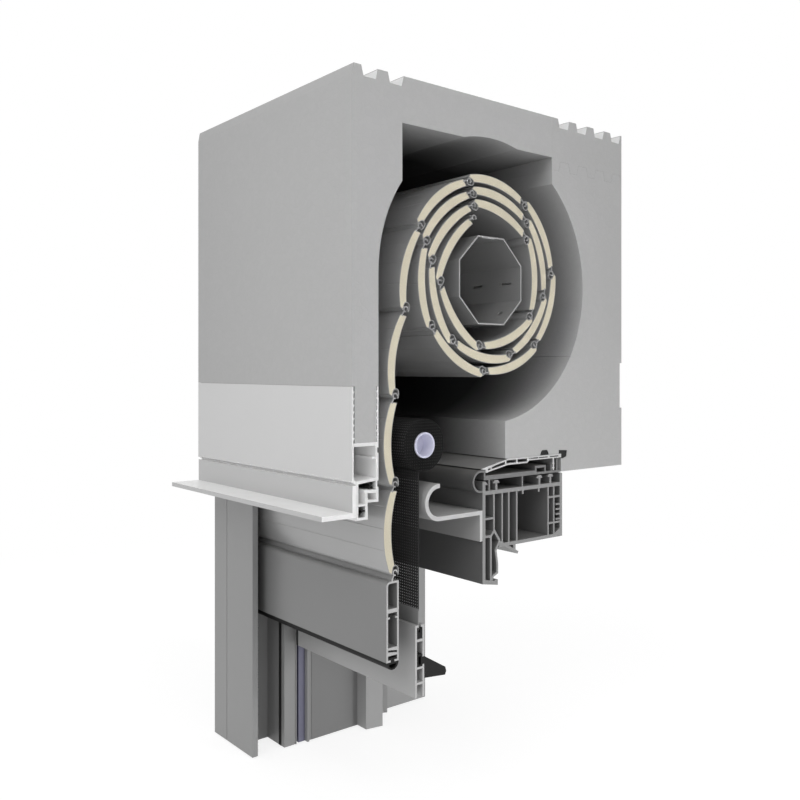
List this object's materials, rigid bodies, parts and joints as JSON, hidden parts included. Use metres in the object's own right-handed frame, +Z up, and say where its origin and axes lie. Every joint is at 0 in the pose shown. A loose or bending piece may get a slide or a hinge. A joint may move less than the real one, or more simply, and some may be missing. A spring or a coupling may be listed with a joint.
{
  "type": "exterior roller shutter",
  "caption": "Corner sample of a window roller shutter: insulated top box with a wound slat curtain on an octagon shaft, guide rail, insect screen and window frame.",
  "frame": {"origin": "axis of the winding shaft, at the cut face of the sample", "axes": "+X along the shaft to the right as seen from outside, out of the cut face; +Y from outside to the room; +Z up"},
  "size_m": [0.203, 0.2842, 0.4698],
  "materials": {
    "eps_grey": "fine beaded foam, matt",
    "panel_dark": "matt",
    "plaster_profile": "satin",
    "gasket_black": "matt",
    "drip_grey": "satin powder coat",
    "shaft_steel": "zinc plated, satin",
    "black_plastic": "satin",
    "bearing_steel": "polished",
    "plate_steel": "zinc plated",
    "spring_steel": "satin",
    "slat_grey": "satin coil coat",
    "cream_foam": "matt cut foam",
    "bar_grey": "satin powder coat",
    "rail_grey": "satin powder coat",
    "brush_black": "fine pile",
    "lavender_plastic": "satin",
    "spacer_grey": "satin",
    "frame_grey": "satin cut profile",
    "nose_grey": "satin",
    "adapter_grey": "satin",
    "cover_light": "satin",
    "net_black": "fine coated mesh"
  },
  "bodies": {
    "box": {"box_shell": "eps_grey", "box_room_insert": "eps_grey", "head_panel": "panel_dark", "base_profile": "plaster_profile", "base_gaskets": "gasket_black", "drip_strip": "drip_grey", "shaft_bearing": "bearing_steel", "bearing_plate": "plate_steel", "plate_screws": "bearing_steel", "guide_rail": "rail_grey", "rail_brushes": "brush_black", "screen_guide": "rail_grey", "guide_zip": "lavender_plastic", "side_spacer": "spacer_grey", "side_frame": "frame_grey", "top_frame": "frame_grey", "nose_profile": "nose_grey", "frame_adapter": "adapter_grey", "cover_panel": "cover_light", "cover_gaskets": "gasket_black", "tube_holder": "black_plastic"},
    "coil": {"winding_shaft": "shaft_steel", "shaft_plug": "black_plastic", "hanger_straps": "spring_steel", "foam_wound": "cream_foam", "slat_05": "slat_grey", "slat_06": "slat_grey", "slat_07": "slat_grey", "slat_08": "slat_grey", "slat_09": "slat_grey", "slat_10": "slat_grey", "slat_11": "slat_grey", "slat_12": "slat_grey", "slat_13": "slat_grey", "slat_14": "slat_grey", "slat_15": "slat_grey", "slat_16": "slat_grey", "slat_17": "slat_grey", "slat_18": "slat_grey", "slat_19": "slat_grey", "slat_20": "slat_grey", "slat_21": "slat_grey", "slat_22": "slat_grey", "slat_23": "slat_grey"},
    "link_upper": {"slat_04": "slat_grey", "foam_link_upper": "cream_foam"},
    "link_lower": {"slat_03": "slat_grey", "foam_link_lower": "cream_foam"},
    "curtain": {"slat_01": "slat_grey", "slat_02": "slat_grey", "foam_hanging": "cream_foam", "end_bar": "bar_grey", "end_bar_seal": "gasket_black"},
    "screen_bar": {"screen_net": "net_black", "pull_bar": "bar_grey", "pull_bar_keder": "gasket_black", "pull_bar_lip": "gasket_black", "pull_bar_glide": "black_plastic"},
    "screen_roller": {"screen_tube": "lavender_plastic", "screen_roll": "net_black"}
  },
  "joints": [
    {"name": "shaft_turn", "type": "hinge", "parent": "box", "child": "coil", "pos_m": [0, 0, 0], "axis": [1, 0, 0], "range_deg": [-8, 18]},
    {"name": "coil_hook", "type": "hinge", "parent": "coil", "child": "link_upper", "pos_m": [0, -0.0637, 0.03108], "axis": [1, 0, 0], "range_deg": [-19, 9]},
    {"name": "link_hook", "type": "hinge", "parent": "link_upper", "child": "link_lower", "pos_m": [0, -0.0756, -0.02262], "axis": [1, 0, 0], "range_deg": [-6, 12]},
    {"name": "hang_hook", "type": "hinge", "parent": "link_lower", "child": "curtain", "pos_m": [0, -0.0842, -0.07694], "axis": [1, 0, 0], "range_deg": [-11.5, 5.5]},
    {"name": "screen_slide", "type": "slide", "parent": "box", "child": "screen_bar", "axis": [0, 0, -1], "range_m": [-0.078, 0.075], "deforming": ["screen_net"]},
    {"name": "screen_tube_turn", "type": "hinge", "parent": "box", "child": "screen_roller", "pos_m": [0, -0.0597, -0.109], "axis": [1, 0, 0], "range_deg": [-254, 245]}
  ],
  "couplings": [
    {"joint": "coil_hook", "follows": "shaft_turn", "ratio": -1.0396},
    {"joint": "link_hook", "follows": "shaft_turn", "ratio": 0.6474},
    {"joint": "hang_hook", "follows": "shaft_turn", "ratio": -0.6078},
    {"joint": "screen_tube_turn", "follows": "screen_slide", "rad_per_m": 56.8}
  ]
}
